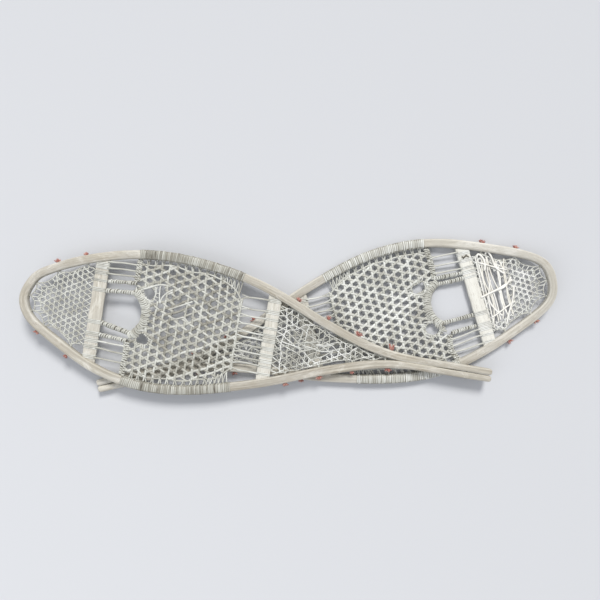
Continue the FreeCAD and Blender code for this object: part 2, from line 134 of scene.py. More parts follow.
def unit(vectors):
    return vectors / np.maximum(np.linalg.norm(vectors, axis=-1, keepdims=True), 1e-9)


def lengths_along(points):
    steps = np.linalg.norm(np.diff(points, axis=0), axis=1)
    return np.concatenate([[0], np.cumsum(steps)])


def read_along(at, along, columns):
    """The columns of numbers known along a line, read at other places on it."""
    return np.stack([np.interp(at, along, column) for column in columns.T], axis=1)


def smooth_curve(knots, values, at):
    """Natural cubic spline through the values, read at the given parameters."""
    gaps = np.diff(knots)
    rises = np.diff(values, axis=0) / gaps[:, None]
    system = np.eye(len(knots))
    right = np.zeros_like(values)
    for i in range(1, len(knots) - 1):
        system[i, i - 1:i + 2] = gaps[i - 1], 2 * (gaps[i - 1] + gaps[i]), gaps[i]
        right[i] = 6 * (rises[i] - rises[i - 1])
    bends = np.linalg.solve(system, right)
    i = np.clip(np.searchsorted(knots, at, side="right") - 1, 0, len(gaps) - 1)
    gap = gaps[i][:, None]
    after = (at - knots[i])[:, None] / gap
    before = 1 - after
    bent = (before ** 3 - before) * bends[i] + (after ** 3 - after) * bends[i + 1]
    return before * values[i] + after * values[i + 1] + bent * gap ** 2 / 6


def stations(length, step):
    return np.linspace(0, length, max(2, int(round(length / step)) + 1))


def resample(points, step):
    """The same polyline with points about a step apart."""
    along = lengths_along(points)
    return read_along(stations(along[-1], step), along, points)


def through(points, step=4.0):
    """Smooth curve through a few points, with points about a step apart."""
    points = np.asarray(points, float)
    if points.shape[1] == 2:
        points = np.column_stack([points, np.zeros(len(points))])
    knots = lengths_along(points)
    return smooth_curve(knots, points, stations(knots[-1], step))


def turned(x, y, degrees):
    """An offset turned to the left about the origin."""
    c, s = math.cos(math.radians(degrees)), math.sin(math.radians(degrees))
    return x * c - y * s, x * s + y * c


class Stick:
    """One shoe's bent stick, seen from above: dense samples from the left tail tip to the right one."""

    def __init__(self, shoe):
        table = np.array(BENDS, float)
        left, right = BEND_COLUMNS[shoe]
        one = table[:, (0, left, 5)]
        other = table[-2::-1][:, (0, right, 5)] * (1, -1, 1)
        whole = np.concatenate([one, other])
        knots = lengths_along(whole[:, :2])
        at = np.linspace(0, knots[-1], 3000)
        points = smooth_curve(knots, whole[:, :2], at)
        along = unit(np.gradient(points, axis=0))
        self.run = lengths_along(points)
        widths = np.interp(at, knots, whole[:, 2])
        self.samples = np.column_stack([points, -along[:, 1], along[:, 0], widths])
        toe = int(np.argmax(points[:, 0]))
        self.rails = {1: self.samples[:toe + 1], -1: self.samples[:toe - 1:-1]}

    def rail_at(self, x, side):
        """The stick's centre, outward direction and width at x, on the left side (1) or the right (-1)."""
        rail = self.rails[side]
        y, out_x, out_y, width = (np.interp(x, rail[:, 0], column) for column in rail.T[1:])
        return np.array([x, y]), unit(np.array([out_x, out_y])), width

    def half_width(self, x, inset, side):
        """Distance from the shoe's middle to the stick's inner edge on one side, less the inset, at x."""
        rail = self.rails[side]
        edge = rail[:, :2] - rail[:, 2:4] * (rail[:, 4:] / 2 + inset)
        return abs(np.interp(x, edge[:, 0], edge[:, 1]))

    def inner_edge(self, xs, inset, side):
        """Points along the stick's inner edge, an inset away from it."""
        return [(x, side * self.half_width(x, inset, side)) for x in xs]


def in_polygon(polygon, x, y):
    """Which of the points lie inside a closed polygon."""
    x = np.atleast_1d(x)[:, None]
    y = np.atleast_1d(y)[:, None]
    ax, ay = polygon.T
    bx, by = np.roll(ax, -1), np.roll(ay, -1)
    rise = np.where(by == ay, 1e-9, by - ay)
    crossing = ax + (y - ay) * (bx - ax) / rise
    return (np.sum(((ay > y) != (by > y)) & (x < crossing), axis=1) % 2) == 1


def in_oval(oval, x, y):
    """Which of the points lie inside an oval: centre x and y, half length, half width, turn in degrees."""
    cx, cy, long, short, turn = oval
    a, b = turned(np.atleast_1d(x) - cx, np.atleast_1d(y) - cy, -turn)
    return (a / long) ** 2 + (b / short) ** 2 < 1


class Drift:
    """Smooth seeded wandering of the lacing, so that nothing handmade is quite even."""

    def __init__(self, seed, amount, reach):
        source = random.Random(seed)
        self.amount = amount / math.sqrt(5)
        self.waves = []
        for _ in range(10):
            fx, fy = (source.uniform(0.5, 1.6) * TURN / reach for _ in range(2))
            self.waves.append((fx, fy, source.uniform(0, TURN), source.choice((-1, 1))))

    def __call__(self, x, y, axis=0):
        waves = self.waves[axis::2]
        return self.amount * sum(np.sin(fx * x + sign * fy * y + phase) for fx, fy, phase, sign in waves)

    def move(self, points):
        moved = points.copy()
        for axis in (0, 1):
            moved[:, axis] += self(points[:, 0], points[:, 1], axis)
        return moved


# ---------------------------------------------------------------- meshes


def regular(sides, first):
    """A regular polygon on the unit circle. first is the first corner's angle, in steps between corners."""
    angles = [TURN * (i + first) / sides for i in range(sides)]
    return [(math.cos(angle), math.sin(angle)) for angle in angles]


OVAL_6 = regular(6, 0.5)
OVAL_5 = regular(5, 0.75)
OVAL_4 = regular(4, 0)
OVAL_3 = [(0.87, -0.5), (0, 1), (-0.87, -0.5)]
BOXED = [(1, -0.8), (1, 0.8), (0.86, 1), (-0.86, 1), (-1, 0.8), (-1, -0.8), (-0.86, -1), (0.86, -1)]
FLAT_STRAND = [(1, -0.9), (0.82, 0.45), (0, 1), (-0.82, 0.45), (-1, -0.9)]


class Lacing:
    """Collects swept tubes and makes them one mesh object with attributes for its material."""

    def __init__(self, shoe, number):
        self.shoe = shoe
        self.random = random.Random(shoe.seed * 100 + number)
        self.uniform = self.random.uniform
        self.points = []
        self.faces = []
        self.count = 0

    def skin(self, rings, *values):
        """Joins rings of points and caps the ends. The values are run, across, up, tone and side or worn."""
        shape = rings.shape[:2]
        values = [np.broadcast_to(value, shape).ravel() for value in values]
        self.points.append(np.column_stack([rings.reshape(-1, 3), *values]))
        corners = self.count + np.arange(shape[0] * shape[1]).reshape(shape)
        self.count += corners.size
        a, b = corners[:-1], corners[1:]
        quads = np.stack([a, b, np.roll(b, -1, axis=1), np.roll(a, -1, axis=1)], axis=-1)
        self.faces += quads.reshape(-1, 4).tolist()
        self.faces += [corners[0].tolist(), corners[-1, ::-1].tolist()]

    def tube(self, line, half_across, half_up, normals=(0.0, 0.0, 1.0), profile=OVAL_5, tone=None):
        """Sweeps a profile along a line: half_across level and square to it, half_up along the normals."""
        along = unit(np.gradient(line, axis=0))
        across = unit(np.cross(along, normals))
        up = np.cross(across, along)
        wide, high = (np.broadcast_to(half, len(line))[:, None] for half in (half_across, half_up))
        x, y = np.array(profile).T
        rings = line[:, None] + across[:, None] * (x * wide)[..., None] + up[:, None] * (y * high)[..., None]
        run = lengths_along(line) + self.uniform(0, 5000)
        seed = self.uniform(0, 500)
        if tone is None:
            tone = self.random.random()
        tone = np.broadcast_to(tone, len(line))[:, None]
        self.skin(rings, run[:, None], x * np.mean(wide), y * np.mean(high) + seed, tone, np.abs(x))

    def strand(self, points, step, half_across, half_up, **more):
        """A tube through a few points."""
        self.tube(through(points, step), half_across, half_up, **more)

    def build(self, word, slot="rawhide", last="side"):
        """Makes the object, in the pair's frame, riding its shoe and standing for its CAD node."""
        node = self.shoe.name + "_" + word
        points = np.concatenate(self.points)
        mesh = bpy.data.meshes.new(node + "_visual")
        mesh.from_pydata(self.shoe.to_pair(points[:, :3]), [], self.faces)
        mesh.shade_smooth()
        mesh.validate()
        fibre = mesh.attributes.new("fibre", "FLOAT_VECTOR", "POINT")
        fibre.data.foreach_set("vector", (points[:, 3:6] * MM).astype(np.float32).ravel())
        for name, values in (("tone", points[:, 6]), (last, points[:, 7])):
            mesh.attributes.new(name, "FLOAT", "POINT").data.foreach_set("value", values.astype(np.float32))
        mesh.materials.append(MATERIALS[slot])
        piece = bpy.data.objects.new(node + "_visual", mesh)
        bpy.context.scene.collection.objects.link(piece)
        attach(piece, self.shoe.body)
        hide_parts(node)


def oval_point(angle, half_across, half_up, square):
    """Point and outward direction on a squared-off oval. square is 2 for an ellipse and more for a box."""
    c, s = np.cos(angle), np.sin(angle)
    power = 2 / square
    point = np.sign(c) * np.abs(c) ** power * half_across, np.sign(s) * np.abs(s) ** power * half_up
    back = 2 - power
    out = np.sign(c) * np.abs(c) ** back / half_across, np.sign(s) * np.abs(s) ** back / half_up
    size = np.sqrt(out[0] ** 2 + out[1] ** 2)
    return point, (out[0] / size, out[1] / size)


def serve(
    lacing, path, half_across, half_up, pitch, thick, square=2, steps=10, lean=0.0, uneven=0.25, first=0.0,
    full=0.5, bulge=0.0, tones=(0.05, 0.95), group=0,
):
    """Winds one strand round a path in close turns.

    half_across and half_up are the core's. lean slants the turns, full is their half width as a part of
    the pitch, bulge makes some turns stand out sideways, and two turns in each group are whiter.
    """
    along = lengths_along(path)
    turns = max(1, round(along[-1] / pitch))
    number = np.linspace(0, turns, turns * steps + 1)
    angle = TURN * number + first

    def vary(low, high, more=0):
        values = [lacing.uniform(low, high) for _ in range(turns + 1)]
        return np.interp(number, np.arange(turns + 1), np.array(values) + more)

    stray = vary(-uneven, uneven) * pitch
    lift = thick / 2 + vary(-0.16, 0.16) * thick
    spread = vary(-0.4, 1) * bulge
    at = np.clip(along[-1] * number / turns + stray + lean * np.sin(angle), 0, along[-1])
    centre = read_along(at, along, path)
    way = unit(read_along(at, along, unit(np.gradient(path, axis=0))))
    side = unit(np.cross(way, (0.0, 0.0, 1.0)))
    up = np.cross(side, way)
    wide = np.interp(at, along, np.broadcast_to(half_across, len(path)))
    (a, b), (na, nb) = oval_point(angle, wide + lift + spread, half_up + lift, square)
    line = centre + side * a[:, None] + up * b[:, None]
    normal = side * na[:, None] + up * nb[:, None]
    whiter = 0.35 * (np.arange(turns + 1) % group < 2) if group else 0
    lacing.tube(line, pitch * full, thick / 2, normal, FLAT_STRAND, vary(*tones, whiter))


def twist(lacing, path, radius, pitch):
    """Two strands laid round each other along a path, as a cord of twisted babiche."""
    path = resample(path, pitch / 6)
    along = lengths_along(path)
    way = unit(np.gradient(path, axis=0))
    side = unit(np.cross(way, (0.0, 0.0, 1.0)))
    up = np.cross(side, way)
    thick = radius * 0.62
    for half_turn in (0, 0.5):
        angle = TURN * (along / pitch + half_turn)
        out = side * np.cos(angle)[:, None] + up * np.sin(angle)[:, None]
        lacing.tube(path + out * (radius - thick), thick, thick)


def pieces_inside(line, inside, shortest=5.0):
    """The runs of a line's points that lie inside, each carried on to the boundary."""
    mask = inside(line[:, 0], line[:, 1]).astype(int)
    changes = np.flatnonzero(np.diff(mask, prepend=0, append=0))
    for start, end in changes.reshape(-1, 2):
        run = list(line[start:end])
        if start > 0:
            run.insert(0, boundary_point(line[start - 1], line[start], inside))
        if end < len(line):
            run.append(boundary_point(line[end], line[end - 1], inside))
        if lengths_along(run)[-1] > shortest:
            yield np.array(run)


def boundary_point(outer, inner, inside):
    for _ in range(9):
        middle = (outer + inner) / 2
        if inside(middle[0], middle[1])[0]:
            inner = middle
        else:
            outer = middle
    return (outer + inner) / 2


def hexagon_net(
    lacing, region, origin, pitch, spacing, half_across, half_up, wave, drift, gaps, profile=OVAL_5,
    tones=(0, 1), slanting=None,
):
    """Three-way weave clipped to a region, or to a wider one for the slanting strands.

    Cross strands are a pitch apart. Slanting strands cross them every half spacing, and each strand goes
    over one and under the next. gaps holds (oval, families): the strand families missing in that oval.
    """
    if slanting is None:
        slanting = region
    whole = np.concatenate([region, slanting])
    low, high = whole.min(axis=0), whole.max(axis=0)
    slope = spacing / (2 * pitch)
    ox, oy = origin

    def keep(family, line):
        def inside(x, y):
            answer = in_polygon(region if family == "cross" else slanting, x, y)
            for oval, families in gaps:
                if family in families:
                    answer = answer & ~in_oval(oval, x, y)
            return answer

        for run in pieces_inside(line, inside):
            sway = Drift(lacing.random.random(), 0.45, 70)
            moved = sway.move(drift.move(run))
            size = 1 + lacing.uniform(-0.12, 0.12)
            phase = lacing.uniform(0, TURN)
            swell = 1 + 0.10 * np.sin(run[:, 0] * 0.21 + run[:, 1] * 0.13 + phase)
            shade = lacing.uniform(*tones)
            lacing.tube(moved, half_across * size * swell, half_up * size, profile=profile, tone=shade)

    first = math.floor((low[0] - ox) / pitch)
    last = math.ceil((high[0] - ox) / pitch)
    for number in range(first, last + 1):
        shift = oy + number * spacing / 2
        start = shift + math.floor((low[1] - shift) / spacing) * spacing
        y = np.arange(start, high[1] + spacing, spacing / 4)
        h = wave * np.cos(TURN * (y - shift) / spacing)
        keep("cross", np.column_stack([np.full_like(y, ox + number * pitch), y, h]))
    x = np.arange(ox + first * pitch, high[0] + pitch, pitch / 4)
    rise = slope * (x - ox)
    h = wave * np.cos(TURN * (x - ox) / pitch)
    reach = slope * (high[0] - low[0]) + spacing
    first = math.floor((low[1] - reach - oy) / spacing)
    last = math.ceil((high[1] + reach - oy) / spacing)
    for number in range(first, last + 1):
        y = oy + number * spacing
        keep("up", np.column_stack([x, y + rise, -h]))
        keep("down", np.column_stack([x, y + spacing / 2 - rise, h]))


# ---------------------------------------------------------------- materials


class Nodes:
    """Short way to build a node material."""

    def __init__(self, name):
        self.material = bpy.data.materials.new(name)
        self.material.use_nodes = True
        self.tree = self.material.node_tree
        self.tree.nodes.clear()
        output = self.add("OutputMaterial")
        self.surface = self.add("BsdfPrincipled")
        self.feed(output.inputs["Surface"], self.surface.outputs[0])

    def add(self, kind, **inputs):
        node = self.tree.nodes.new("ShaderNode" + kind)
        for name, value in inputs.items():
            self.feed(node.inputs[name], value)
        return node

    def feed(self, target, value):
        if isinstance(value, bpy.types.NodeSocket):
            self.tree.links.new(value, target)
        elif target.type == "RGBA" and isinstance(value, tuple):
            target.default_value = (*value, 1)
        else:
            target.default_value = value

    def attribute(self, name, output="Fac"):
        node = self.add("Attribute")
        node.attribute_name = name
        return node.outputs[output]

    def place(self):
        return self.add("TexCoord").outputs["Object"]

    def noise(self, vector, scale, detail, rough, distortion=0.0):
        """Noise on a vector. The scale is one number, or three that stretch the pattern."""
        if isinstance(scale, tuple):
            vector = self.add("Mapping", Vector=vector, Scale=scale).outputs[0]
            scale = 1.0
        node = self.add("TexNoise", Vector=vector, Scale=scale, Detail=detail, Roughness=rough)
        node.inputs["Distortion"].default_value = distortion
        return node.outputs["Fac"]

    def ramp(self, factor, stops):
        node = self.add("ValToRGB", Fac=factor)
        band = node.color_ramp
        for number, (position, colour) in enumerate(stops):
            stop = band.elements[number] if number < 2 else band.elements.new(position)
            stop.position = position
            stop.color = (*colour, 1) if isinstance(colour, tuple) else (colour, colour, colour, 1)
        return node.outputs[0]

    def mix(self, factor, first, second, way="MIX"):
        node = self.add("Mix")
        node.data_type = "RGBA"
        node.blend_type = way
        for number, value in ((0, factor), (6, first), (7, second)):
            self.feed(node.inputs[number], value)
        return node.outputs[2]

    def math(self, first, second, way, clamp=False):
        node = self.add("Math")
        node.operation = way
        node.use_clamp = clamp
        self.feed(node.inputs[0], first)
        self.feed(node.inputs[1], second)
        return node.outputs[0]

    def times(self, first, second, clamp=False):
        return self.math(first, second, "MULTIPLY", clamp)

    def plus(self, first, second):
        return self.math(first, second, "ADD")

    def finish(self, colour, roughness, height, strength, distance, **settings):
        """Joins colour, roughness and bumps to the surface, and sets the surface's other inputs."""
        self.feed(self.surface.inputs["Base Color"], colour)
        self.feed(self.surface.inputs["Roughness"], roughness)
        bump = self.add("Bump", Strength=strength, Distance=distance, Height=height)
        self.feed(self.surface.inputs["Normal"], bump.outputs[0])
        for name, value in settings.items():
            self.surface.inputs[name.replace("_", " ")].default_value = value
        return self.material


def weathered_ash():
    """Old bent ash: long grain, silvered in patches, paler where the edges are worn, with dark pores."""
    n = Nodes("weathered_ash")
    grain = n.attribute("fibre", "Vector")
    streaks = n.noise(grain, (3, 190, 150), 5, 0.65, 0.4)
    rings = n.noise(grain, (1.6, 48, 40), 3, 0.5, 1.2)
    silver = n.noise(grain, (9, 26, 26), 3, 0.6, 0.3)
    pores = n.noise(grain, (60, 1500, 1100), 2, 0.6)
    weather = n.noise(grain, (14, 34, 34), 5, 0.75, 0.8)
    body = [(0.30, (0.285, 0.245, 0.185)), (0.70, (0.57, 0.54, 0.45)), (0.52, (0.445, 0.41, 0.33))]
    fine = n.ramp(streaks, [(0.36, (0.46, 0.41, 0.35)), (0.60, 1.0)])
    colour = n.mix(0.85, n.ramp(rings, body), fine, "MULTIPLY")
    # Whole pieces are paled by their tone, set per piece; the lower shoe's frame and front bar come out
    # paler than the upper's, which is painted light.
    paled_by_tone = n.times(n.math(n.attribute("tone"), 0.5, "SUBTRACT"), 1.7, clamp=True)
    for share, paint in (
        (n.ramp(silver, [(0.42, 0.0), (0.68, 0.62)]), (0.50, 0.49, 0.455)),
        (n.ramp(weather, [(0.48, 0.0), (0.60, 0.66)]), (0.30, 0.27, 0.215)),
        (n.ramp(weather, [(0.34, 0.55), (0.47, 0.0)]), (0.75, 0.73, 0.68)),
        (n.times(paled_by_tone, n.ramp(streaks, [(0.3, 0.7), (0.6, 1.0)])), (0.785, 0.78, 0.72)),
        (n.times(n.attribute("worn"), n.ramp(streaks, [(0.25, 0.15), (0.7, 0.75)])), (0.75, 0.725, 0.645)),
        (n.ramp(pores, [(0.30, 0.62), (0.40, 0.0)]), (0.20, 0.145, 0.09)),
    ):
        colour = n.mix(share, colour, paint)
    height = n.plus(n.times(streaks, 0.6), n.times(pores, 0.5))
    roughness = n.ramp(streaks, [(0.3, 0.78), (0.7, 0.52)])
    return n.finish(colour, roughness, height, 0.55, 0.0006, Specular_IOR_Level=0.35)


# Dark tones for the cores under wound and bound strands: they paint the shade seen in the gaps between the
# turns, down to SHADED, the rawhide's darkest colour.
DEEP_SHADE_TONE = -0.5
GAP_SHADE_TONE = -0.35
SHADED = (0.10, 0.088, 0.068)
BLEACHED = (0.86, 0.86, 0.83)


def rawhide(name, low, middle, high, soil_and_shade, soiling):
    """Dried babiche: cream to yellow strands of uneven tone, soiled in places, darkened at their sides by
    painted shade and soil, with a slight gloss.
    """
    n = Nodes(name)
    fibre = n.attribute("fibre", "Vector")
    along = n.noise(fibre, (55, 420, 420), 4, 0.6, 0.3)
    patches = n.noise(n.place(), 26, 3, 0.6, 0.4)
    creases = n.noise(fibre, (260, 900, 900), 3, 0.6)
    pick = n.plus(n.times(n.attribute("tone"), 0.45), n.times(along, 0.55))
    colour = n.ramp(pick, [(0.0, SHADED), (1.0, BLEACHED), (0.20, low), (0.50, middle), (0.80, high)])
    # Strands darken towards their sides, where they dip beside their neighbours: painted shade, partly soil.
    edge_shade_and_soil = n.ramp(n.attribute("side"), [(0.60, 0.0), (1.0, 0.62)])
    uneven = n.ramp(along, [(0.35, 0.25), (0.6, 1.0)])
    dirt = n.times(n.ramp(patches, [(0.45, 0.0), (0.72, soiling)]), uneven)
    colour = n.mix(dirt, n.mix(edge_shade_and_soil, colour, soil_and_shade), soil_and_shade)
    height = n.plus(along, n.times(creases, 0.6))
    roughness = n.ramp(along, [(0.3, 0.62), (0.7, 0.40)])
    return n.finish(colour, roughness, height, 0.45, 0.0005, Specular_IOR_Level=0.45)


def faded_wool():
    """Tufts of red wool, some yarns sun-bleached towards salmon."""
    n = Nodes("faded_wool")
    fuzz = n.noise(n.attribute("fibre", "Vector"), (300, 900, 900), 3, 0.7)
    pick = n.plus(n.times(n.attribute("tone"), 0.7), n.times(fuzz, 0.4))
    reds = [(0.15, (0.30, 0.07, 0.05)), (0.85, (0.62, 0.33, 0.26)), (0.5, (0.45, 0.155, 0.115))]
    roughness = n.ramp(fuzz, [(0.3, 0.95), (0.7, 0.82)])
    return n.finish(n.ramp(pick, reds), roughness, fuzz, 0.6, 0.0004, Sheen_Weight=0.35)


def dull_metal():
    """Old rivet heads, dulled and spotted."""
    n = Nodes("dull_metal")
    spots = n.noise(n.place(), 900, 4, 0.6)
    colour = n.ramp(spots, [(0.35, (0.20, 0.15, 0.11)), (0.65, (0.46, 0.40, 0.33))])
    roughness = n.ramp(spots, [(0.3, 0.65), (0.7, 0.38)])
    return n.finish(colour, roughness, spots, 0.4, 0.0002, Metallic=0.85)


MATERIALS = {
    "ash_wood": weathered_ash(),
    "rawhide": rawhide(
        "rawhide", (0.40, 0.395, 0.345), (0.57, 0.572, 0.52), (0.735, 0.745, 0.705), (0.23, 0.21, 0.165), 0.7
    ),
    "pale_rawhide": rawhide(
        "pale_rawhide", (0.64, 0.59, 0.46), (0.78, 0.755, 0.66), (0.87, 0.86, 0.81), (0.40, 0.34, 0.25), 0.4
    ),
    "red_wool": faded_wool(),
    "rivet_metal": dull_metal(),
}

# ---------------------------------------------------------------- the pieces of one shoe


def rounded_box(half_across, half_up, radius):
    """A bar's sections with rounded corners, as points across and up, and how worn each point is."""
    half_across, half_up, radius = (np.atleast_1d(size)[:, None] for size in (half_across, half_up, radius))
    steps = 3
    corner = np.repeat(np.arange(4), steps + 1)
    part = np.tile(np.arange(steps + 1) / steps, 4)
    sign_across, sign_up = np.array([(1, 1), (-1, 1), (-1, -1), (1, -1)])[corner].T
    angle = np.radians(90 * (corner + part))
    across = sign_across * (half_across - radius) + np.cos(angle) * radius
    up = sign_up * (half_up - radius) + np.sin(angle) * radius
    worn = 1 - np.abs(part - 0.5) * 1.2
    return across[:, ::-1], up[:, ::-1], worn[::-1]


class Shoe:
    """One shoe: where it stands and where its lacing differs from the other's."""

    winding_group = 0
    slits = []
    toe_gaps = []
    mending = []
    tuft_sizes = {}

    def __init__(self, name, yaw, tail_x, tail_y, layout):
        self.name = name
        self.body = name + "_shoe"
        self.yaw = yaw
        self.tail = tail_x, tail_y
        self.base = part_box(name + "_left_rail_winding")[0][2] / MM
        self.seed = len(name) + int(yaw)
        self.stick = Stick(name)
        self.half_width = self.stick.half_width
        self.__dict__.update(layout)

    def to_pair(self, points):
        """From the flat frame to the pair's, in metres: the toe curls up, then the shoe turns and moves."""
        x, y, h = points.T
        ahead = np.maximum(0, x - UPTURN_START)
        z = MIDDLE + UPTURN_RADIUS - np.sqrt((UPTURN_RADIUS - h) ** 2 - ahead ** 2)
        x, y = turned(x, y, self.yaw)
        return np.stack([self.tail[0] + x, self.tail[1] + y, self.base + z], axis=1) * MM

    def build(self):
        self.frame()
        self.crossbars()
        self.windings()
        self.centre_net()
        self.selvedges()
        self.toe_cord()
        self.served_cords()
        self.thongs()
        self.bands()
        self.toe_net()
        self.mend()
        self.tail_net()
        self.tufts()
        self.rivets()

    # ---- wood

    def frame(self):
        """The bent stick, from one tail tip round the toe to the other, with rounded edges and tips."""
        stick = self.stick
        whole = stick.run[-1]
        tip = TIP_ROUNDING
        ends = np.array([0, 0.1, 0.3, 0.6, 1]) * tip
        run = np.concatenate([ends, np.linspace(14, whole - 14, 280), whole - ends[::-1]])
        samples = read_along(run, stick.run, stick.samples)
        line, out, wide = samples[:, :2], unit(samples[:, 2:4]), samples[:, 4]
        from_end = np.minimum(run, whole - run)
        inset = np.where(from_end < tip, tip - np.sqrt(np.maximum(0, tip ** 2 - (tip - from_end) ** 2)), 0)
        half = wide / 2 - inset * 0.75 + Drift(self.seed, 0.35, 90)(run, 0.0) * 0.5
        high = RAIL_HEIGHT / 2 - inset * 0.3 - 0.15
        across, up, worn = rounded_box(half, high, np.minimum(RAIL_ROUNDING, half * 0.6))
        rings = np.dstack([line[:, None] + out[:, None] * across[..., None], up])
        lacing = Lacing(self, 1)
        lacing.skin(rings, run[:, None], across + 500, up + self.seed * 7, self.wood_tone, worn)
        lacing.build("frame", "ash_wood", "worn")

    def bar_point(self, bar, across, along, h):
        """A point on a crossbar: across the bar, along it and above its middle."""
        x, y = turned(across, along, bar[1])
        return np.stack(np.broadcast_arrays(bar[0] + x, y, h), axis=-1)

    def crossbars(self):
        """Two flat bars let into the rails, with worn rounded edges."""
        bars = ("front", self.front_bar), ("rear", self.rear_bar)
        for number, (word, bar) in enumerate(bars, 2):
            left, right = (self.half_width(bar[0], -TENON, side) for side in SIDES)
            along = np.linspace(-right, left, 41)
            drift = Drift(self.seed + len(word), 0.5, 60)
            half = BAR_WIDTH / 2 + drift(along, 0.0) * 0.7
            across, up, worn = rounded_box(half, BAR_HEIGHT / 2 + drift(along, 30.0) * 0.15, BAR_ROUNDING)
            along = along[:, None]
            lacing = Lacing(self, number)
            values = along, across + 900, up + self.seed * 11, self.bar_tone[word], worn
            lacing.skin(self.bar_point(bar, across, along, up), *values)
            lacing.build(word + "_crossbar", "ash_wood", "worn")

    # ---- rawhide

    def windings(self):
        """Rawhide wound round each rail beside the centre panel."""
        for number, (side, word) in enumerate(SIDES.items(), 4):
            lacing = Lacing(self, number)
            rear, front = self.wound[side]
            rail = [self.stick.rail_at(x, side) for x in np.linspace(rear + 2, front - 2, 80)]
            path = np.array([(*point, 0.0) for point, outward, width in rail])
            half = np.array([width / 2 for point, outward, width in rail])
            # A dark core under the turns, painting the shade in the gaps between them.
            lacing.tube(path, half + 0.3, RAIL_HEIGHT / 2 + 0.2, profile=BOXED, tone=GAP_SHADE_TONE)
            serve(
                lacing, path, half, RAIL_HEIGHT / 2 - 0.1, WINDING_PITCH, WINDING_THICK, square=5, steps=12,
                lean=0.9, uneven=0.28, full=0.455, bulge=0.9, tones=self.winding_tones,
                group=self.winding_group,
            )
            lacing.build(word + "_rail_winding")

    def centre_region(self):
        """Outline of the centre panel, inside its side selvedges and with its rear corners cut off."""
        xs = np.linspace(self.rear_edge + CORNER, self.front_edge, 24)
        left, right = (
            [(self.rear_edge, side * self.corner_half)] + self.stick.inner_edge(xs, SELVEDGE_INSET, side)
            for side in SIDES
        )
        return np.array(left + right[::-1])

    def arc_centre(self):
        return np.array([self.front_edge + TOE_ARC_AHEAD, self.toe_shift])

    def centre_net(self):
        """The panel that carries the foot."""
        lacing = Lacing(self, 6)
        pitch = (self.front_edge - self.rear_edge) / CENTRE_ROWS
        hollow = TOE_ARC_RADIUS + 7
        holes = (*self.arc_centre(), hollow, hollow, 0), *self.side_holes
        gaps = [(hole, EVERY) for hole in holes] + self.slits
        self.drift = Drift(self.seed + 3, 1.5, 110)
        hexagon_net(
            lacing, self.centre_region(), (self.rear_edge, self.net_phase), pitch, CENTRE_SPACING, 3.3, 1.5,
            1.2, self.drift, gaps, tones=self.net_tones,
        )
        for side in SIDES:
            self.side_lacing(lacing, side, pitch)
        for hole in self.side_holes:
            self.hole_edge(lacing, hole)
        for line, size in self.loose_strands:
            lacing.strand(line, 4, size, size * 0.62, profile=OVAL_6, tone=0.9)
        lacing.build("centre_net")

    def hole_edge(self, lacing, hole):
        """The uneven cord round a hole beside the toe cord, and the loops from it into the net."""
        hx, hy, long, short, turn = hole
        ripple = Drift(hx, 1.3, 2.2)

        def rim(angle, beyond):
            a, b = turned(np.cos(angle) * (long + beyond), np.sin(angle) * (short + beyond), turn)
            return np.stack([hx + a, hy + b], axis=-1)

        angle = np.linspace(0, TURN, 41)
        ring = np.column_stack([rim(angle, ripple(np.cos(angle), np.sin(angle))), 0.8 * np.sin(3 * angle)])
        serve(lacing, ring, 1.0, 0.9, 5.4, 1.6, steps=8, lean=1.2, uneven=0.3, full=0.46)
        # A dark core under the turns, painting the shade between them.
        lacing.tube(ring, 1.3, 1.1, tone=DEEP_SHADE_TONE)
        loops = 17
        for number in range(loops):
            place = TURN * (number + lacing.uniform(-0.3, 0.3)) / loops
            start, end = rim(place, 0.5), rim(place + lacing.uniform(-0.14, 0.14), lacing.uniform(7, 12))
            if np.linalg.norm(end - self.arc_centre()) > TOE_ARC_RADIUS + 4 and end[0] < self.front_edge + 2:
                lacing.strand([(*start, 1.6), (*end, 0.4)], 4, 1.7, 1.1)

    def side_lacing(self, lacing, side, pitch):
        """The selvedge strand beside a rail, and the paired ends that run from it into the winding."""
        rear, front = self.rear_edge, self.front_edge
        corner = rear + CORNER
        edge = self.stick.inner_edge(np.linspace(corner, front + 4, 12), SELVEDGE_INSET, side)
        edge = through([(rear + 1, side * self.corner_half)] + edge, 4.5)
        edge[:, 2] = 0.7 * np.sin(edge[:, 0] * TURN / (2 * pitch))
        lacing.tube(self.drift.move(edge), 2.3, 1.3, profile=OVAL_6)
        for number in range(1, CENTRE_ROWS + 1):
            x = rear + number * pitch
            if x < corner + 4 or x > front - 2:
                continue
            inner = self.half_width(x, SELVEDGE_INSET, side) - 2
            for way in (-1, 1):
                outer = self.half_width(x + way * 3.4, -1, side)
                spread = way * lacing.uniform(2.6, 4.2)
                ends = [
                    (x + way, side * inner, 0.6 * way),
                    (x + 0.5 * spread, side * (inner + outer) / 2, 1.2 * way),
                    (x + spread, side * outer, 2.4 * way),
                ]
                lacing.tube(self.drift.move(through(ends)), 2.0, 1.2)
        zigzag = []
        reach = self.half_width(corner, SELVEDGE_INSET, side)
        for number in range(11):
            part = number / 10
            x = rear + 3 + 52 * part
            inner = self.corner_half + (reach - self.corner_half) * min(1, part * 1.05) - 1
            y = inner if number % 2 else self.half_width(x, -1, side)
            zigzag.append((x, side * y, 1.4 * (-1) ** number))
        for start, end in zip(zigzag, zigzag[1:]):
            middle = [(a + b) / 2 + lacing.uniform(-0.8, 0.8) for a, b in zip(start, end)]
            lacing.strand([start, middle, end], 5, 1.8, 1.15)

